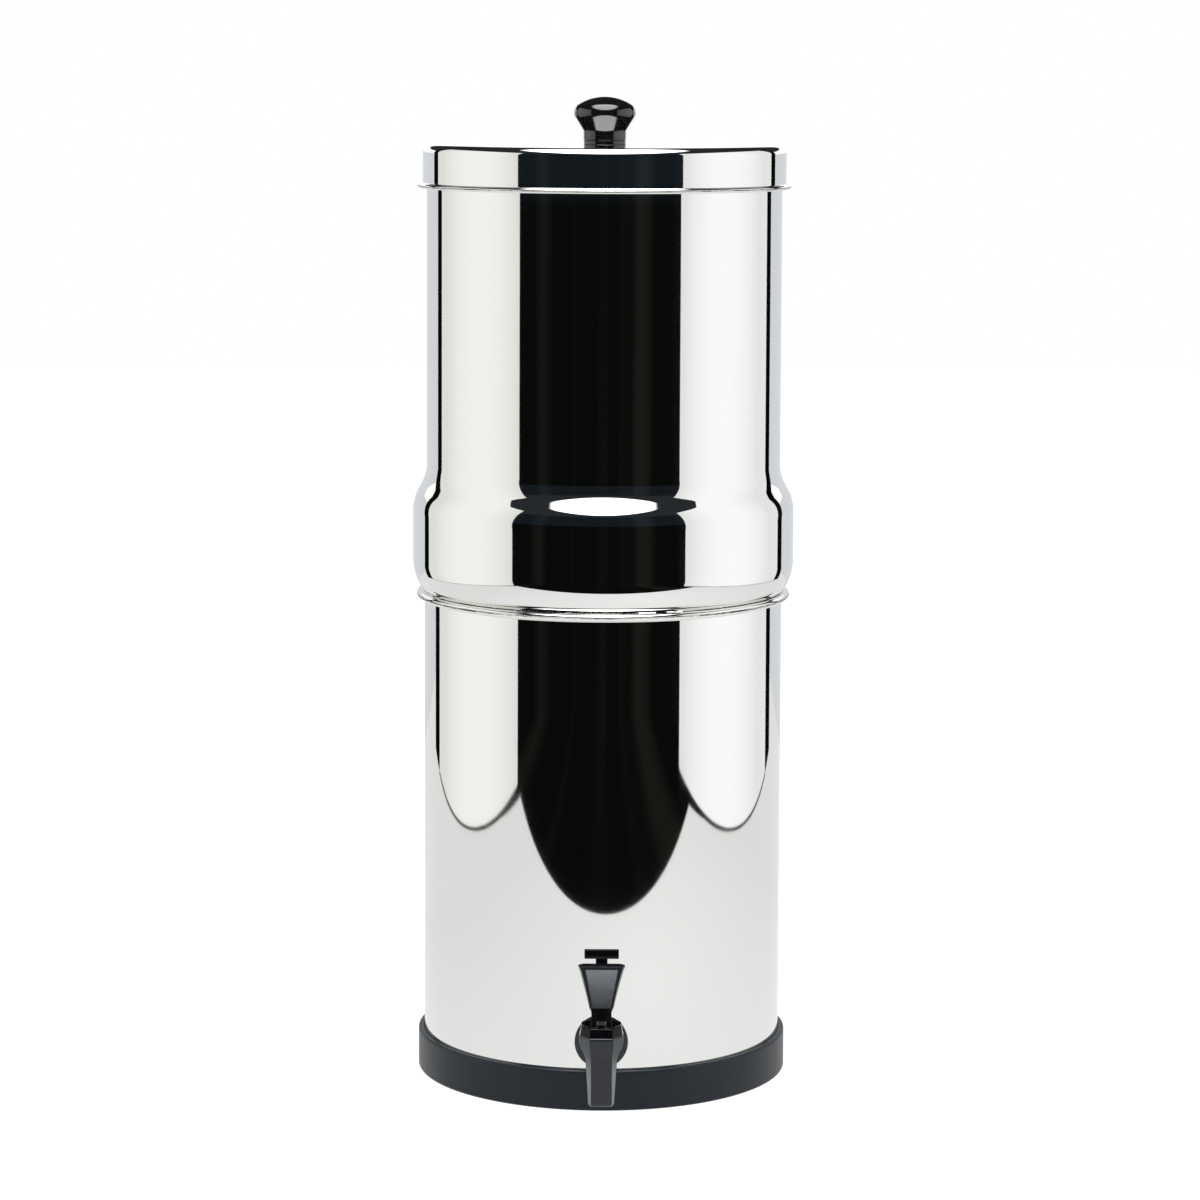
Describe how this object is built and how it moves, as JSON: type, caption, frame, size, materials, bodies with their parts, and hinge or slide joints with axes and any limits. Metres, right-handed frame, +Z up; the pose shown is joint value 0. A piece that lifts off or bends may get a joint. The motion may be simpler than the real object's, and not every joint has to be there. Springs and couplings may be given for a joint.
{
  "type": "gravity water filter",
  "caption": "Two-chamber stainless steel gravity water filter with lift-off lid and upper chamber, carbon filter elements, a black base ring and a self-closing lever tap.",
  "frame": {"origin": "centre of the base ring's underside, where the filter stands", "axes": "+Z up along the chambers' axis, -Y towards the tap, +X to the right of someone facing the tap"},
  "size_m": [0.2574, 0.291, 0.6602],
  "materials": {
    "polished_steel": "mirror polished stainless steel",
    "ring_rubber": "satin moulded black",
    "tap_plastic": "semi-gloss moulded nylon",
    "knob_plastic": "gloss moulded phenolic",
    "carbon": "pressed carbon block",
    "base_plastic": "moulded polypropylene",
    "nut_plastic": "white moulded nylon",
    "seal_rubber": "soft moulded rubber",
    "silicone": "translucent silicone",
    "steel_wire": "drawn stainless wire"
  },
  "bodies": {
    "root": {"base_ring": "ring_rubber", "lower_chamber": "polished_steel", "tap_body": "tap_plastic", "tap_bonnet": "tap_plastic", "tap_outer_washer": "seal_rubber", "tap_inner_washer": "seal_rubber", "tap_lock_nut": "tap_plastic"},
    "tap_stem": {"tap_stem": "tap_plastic", "tap_seat_cup": "silicone", "tap_spring": "steel_wire"},
    "tap_lever": {"tap_lever": "tap_plastic", "tap_lever_pin": "steel_wire"},
    "upper_chamber": {"upper_chamber": "polished_steel", "filter_element_1": "carbon", "filter_element_2": "carbon", "element_base_1": "base_plastic", "element_base_2": "base_plastic", "element_gaskets": "seal_rubber", "wing_nuts": "nut_plastic", "blanking_plugs": "seal_rubber"},
    "lid": {"lid": "polished_steel", "lid_knob": "knob_plastic", "lid_knob_screw": "steel_wire", "lid_knob_washer": "steel_wire"}
  },
  "joints": [
    {"name": "upper_chamber_lift", "type": "slide", "parent": "root", "child": "upper_chamber", "axis": [0, 0, 1], "range_m": [0, 0.06]},
    {"name": "lid_lift", "type": "slide", "parent": "upper_chamber", "child": "lid", "axis": [0, 0, 1], "range_m": [0, 0.05]},
    {"name": "tap_stem_lift", "type": "slide", "parent": "root", "child": "tap_stem", "axis": [0, 0, 1], "range_m": [0, 0.004], "deforming": ["tap_spring"]},
    {"name": "tap_lever_swing", "type": "hinge", "parent": "tap_stem", "child": "tap_lever", "pos_m": [0, -0.148, 0.067], "axis": [1, 0, 0], "range_deg": [0, 45], "stiffness_Nm_per_rad": 0.05, "springref_deg": -28.65}
  ],
  "couplings": [
    {"joint": "tap_stem_lift", "follows": "tap_lever_swing", "m_per_rad": 0.005093}
  ]
}
